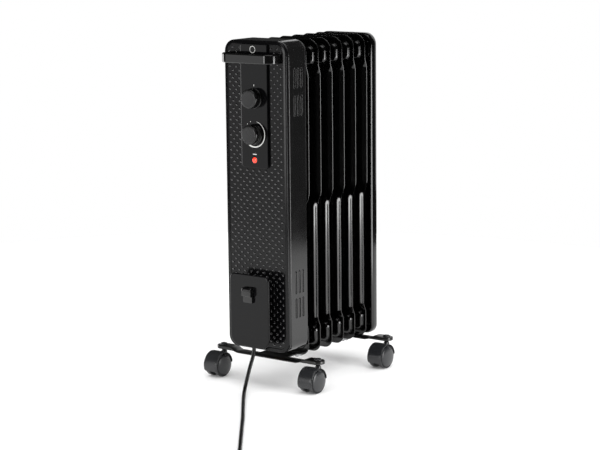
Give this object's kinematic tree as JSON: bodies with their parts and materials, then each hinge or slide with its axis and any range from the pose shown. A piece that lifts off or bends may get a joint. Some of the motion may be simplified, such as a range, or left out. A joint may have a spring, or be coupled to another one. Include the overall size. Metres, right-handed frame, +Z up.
{
  "type": "oil filled radiator heater",
  "caption": "Upright oil filled radiator: stacked steel fins, control housing with knobs and lamp, front handle, cord winder and feet on twin-wheel castors.",
  "frame": {"origin": "on the floor, under the middle of the heater without its free cord", "axes": "+Z up, -Y towards the control side, +X to the right as seen from the control side"},
  "size_m": [0.4914, 0.8243, 0.6325],
  "materials": {
    "black_enamel": "gloss black enamel on sheet steel",
    "satin_plastic": "satin black moulded",
    "knob_plastic": "satin black moulded",
    "gloss_plastic": "gloss black moulded",
    "castor_nylon": "dark grey moulded nylon",
    "zinc_plate": "bright zinc plate",
    "stainless_sheath": "drawn tube",
    "brass": "machined",
    "switch_body": "moulded, off-white",
    "pvc": "extruded black PVC",
    "red_lens": "translucent red"
  },
  "bodies": {
    "root": {"carry_handle": "gloss_plastic", "castor_front_left_stem": "zinc_plate", "castor_front_right_stem": "zinc_plate", "castor_rear_left_stem": "zinc_plate", "castor_rear_right_stem": "zinc_plate", "control_housing": "black_enamel", "control_plate": "satin_plastic", "cord_clip": "gloss_plastic", "cord_coil": "pvc", "element_flange": "brass", "fin_1": "black_enamel", "fin_2": "black_enamel", "fin_3": "black_enamel", "fin_4": "black_enamel", "fin_5": "black_enamel", "fin_6": "black_enamel", "fin_7": "black_enamel", "front_foot": "black_enamel", "front_panel": "satin_plastic", "front_u_bolt": "zinc_plate", "front_wing_nut_left": "zinc_plate", "front_wing_nut_right": "zinc_plate", "heating_element": "stainless_sheath", "lamp_holder": "switch_body", "lamp_lens": "red_lens", "plug": "pvc", "power_cord": "pvc", "rear_foot": "black_enamel", "rear_u_bolt": "zinc_plate", "rear_wing_nut_left": "zinc_plate", "rear_wing_nut_right": "zinc_plate", "selector_switch": "switch_body", "strain_relief": "pvc", "terminal_block": "switch_body", "thermal_cutout": "switch_body", "thermostat": "switch_body", "winder_plate": "satin_plastic", "winder_post": "satin_plastic"},
    "selector_knob": {"selector_knob": "knob_plastic", "selector_spindle": "zinc_plate"},
    "thermostat_knob": {"thermostat_knob": "knob_plastic", "thermostat_spindle": "zinc_plate"},
    "castor_front_left": {"castor_front_left_hood": "castor_nylon", "castor_front_left_axle": "zinc_plate"},
    "castor_front_left_wheel_left": {"castor_front_left_wheel_left": "castor_nylon"},
    "castor_front_left_wheel_right": {"castor_front_left_wheel_right": "castor_nylon"},
    "castor_front_right": {"castor_front_right_hood": "castor_nylon", "castor_front_right_axle": "zinc_plate"},
    "castor_front_right_wheel_left": {"castor_front_right_wheel_left": "castor_nylon"},
    "castor_front_right_wheel_right": {"castor_front_right_wheel_right": "castor_nylon"},
    "castor_rear_left": {"castor_rear_left_hood": "castor_nylon", "castor_rear_left_axle": "zinc_plate"},
    "castor_rear_left_wheel_left": {"castor_rear_left_wheel_left": "castor_nylon"},
    "castor_rear_left_wheel_right": {"castor_rear_left_wheel_right": "castor_nylon"},
    "castor_rear_right": {"castor_rear_right_hood": "castor_nylon", "castor_rear_right_axle": "zinc_plate"},
    "castor_rear_right_wheel_left": {"castor_rear_right_wheel_left": "castor_nylon"},
    "castor_rear_right_wheel_right": {"castor_rear_right_wheel_right": "castor_nylon"}
  },
  "joints": [
    {"name": "selector_turn", "type": "hinge", "parent": "root", "child": "selector_knob", "pos_m": [0, -0.1355, 0.5295], "axis": [0, 1, 0], "range_deg": [0, 270]},
    {"name": "thermostat_turn", "type": "hinge", "parent": "root", "child": "thermostat_knob", "pos_m": [0, -0.1355, 0.465], "axis": [0, 1, 0], "range_deg": [0, 300]},
    {"name": "castor_front_left_swivel", "type": "hinge", "parent": "root", "child": "castor_front_left", "pos_m": [-0.1091, -0.09765, 0.04], "axis": [0, 0, 1], "continuous": true},
    {"name": "castor_front_left_wheel_left_spin", "type": "hinge", "parent": "castor_front_left", "child": "castor_front_left_wheel_left", "pos_m": [-0.1196, -0.11615, 0.022], "axis": [1, 0, 0], "continuous": true},
    {"name": "castor_front_left_wheel_right_spin", "type": "hinge", "parent": "castor_front_left", "child": "castor_front_left_wheel_right", "pos_m": [-0.0986, -0.11615, 0.022], "axis": [1, 0, 0], "continuous": true},
    {"name": "castor_front_right_swivel", "type": "hinge", "parent": "root", "child": "castor_front_right", "pos_m": [0.1091, -0.09765, 0.04], "axis": [0, 0, 1], "continuous": true},
    {"name": "castor_front_right_wheel_left_spin", "type": "hinge", "parent": "castor_front_right", "child": "castor_front_right_wheel_left", "pos_m": [0.0986, -0.11615, 0.022], "axis": [1, 0, 0], "continuous": true},
    {"name": "castor_front_right_wheel_right_spin", "type": "hinge", "parent": "castor_front_right", "child": "castor_front_right_wheel_right", "pos_m": [0.1196, -0.11615, 0.022], "axis": [1, 0, 0], "continuous": true},
    {"name": "castor_rear_left_swivel", "type": "hinge", "parent": "root", "child": "castor_rear_left", "pos_m": [-0.1091, 0.12455, 0.04], "axis": [0, 0, 1], "continuous": true},
    {"name": "castor_rear_left_wheel_left_spin", "type": "hinge", "parent": "castor_rear_left", "child": "castor_rear_left_wheel_left", "pos_m": [-0.1196, 0.10605, 0.022], "axis": [1, 0, 0], "continuous": true},
    {"name": "castor_rear_left_wheel_right_spin", "type": "hinge", "parent": "castor_rear_left", "child": "castor_rear_left_wheel_right", "pos_m": [-0.0986, 0.10605, 0.022], "axis": [1, 0, 0], "continuous": true},
    {"name": "castor_rear_right_swivel", "type": "hinge", "parent": "root", "child": "castor_rear_right", "pos_m": [0.1091, 0.12455, 0.04], "axis": [0, 0, 1], "continuous": true},
    {"name": "castor_rear_right_wheel_left_spin", "type": "hinge", "parent": "castor_rear_right", "child": "castor_rear_right_wheel_left", "pos_m": [0.0986, 0.10605, 0.022], "axis": [1, 0, 0], "continuous": true},
    {"name": "castor_rear_right_wheel_right_spin", "type": "hinge", "parent": "castor_rear_right", "child": "castor_rear_right_wheel_right", "pos_m": [0.1196, 0.10605, 0.022], "axis": [1, 0, 0], "continuous": true}
  ]
}
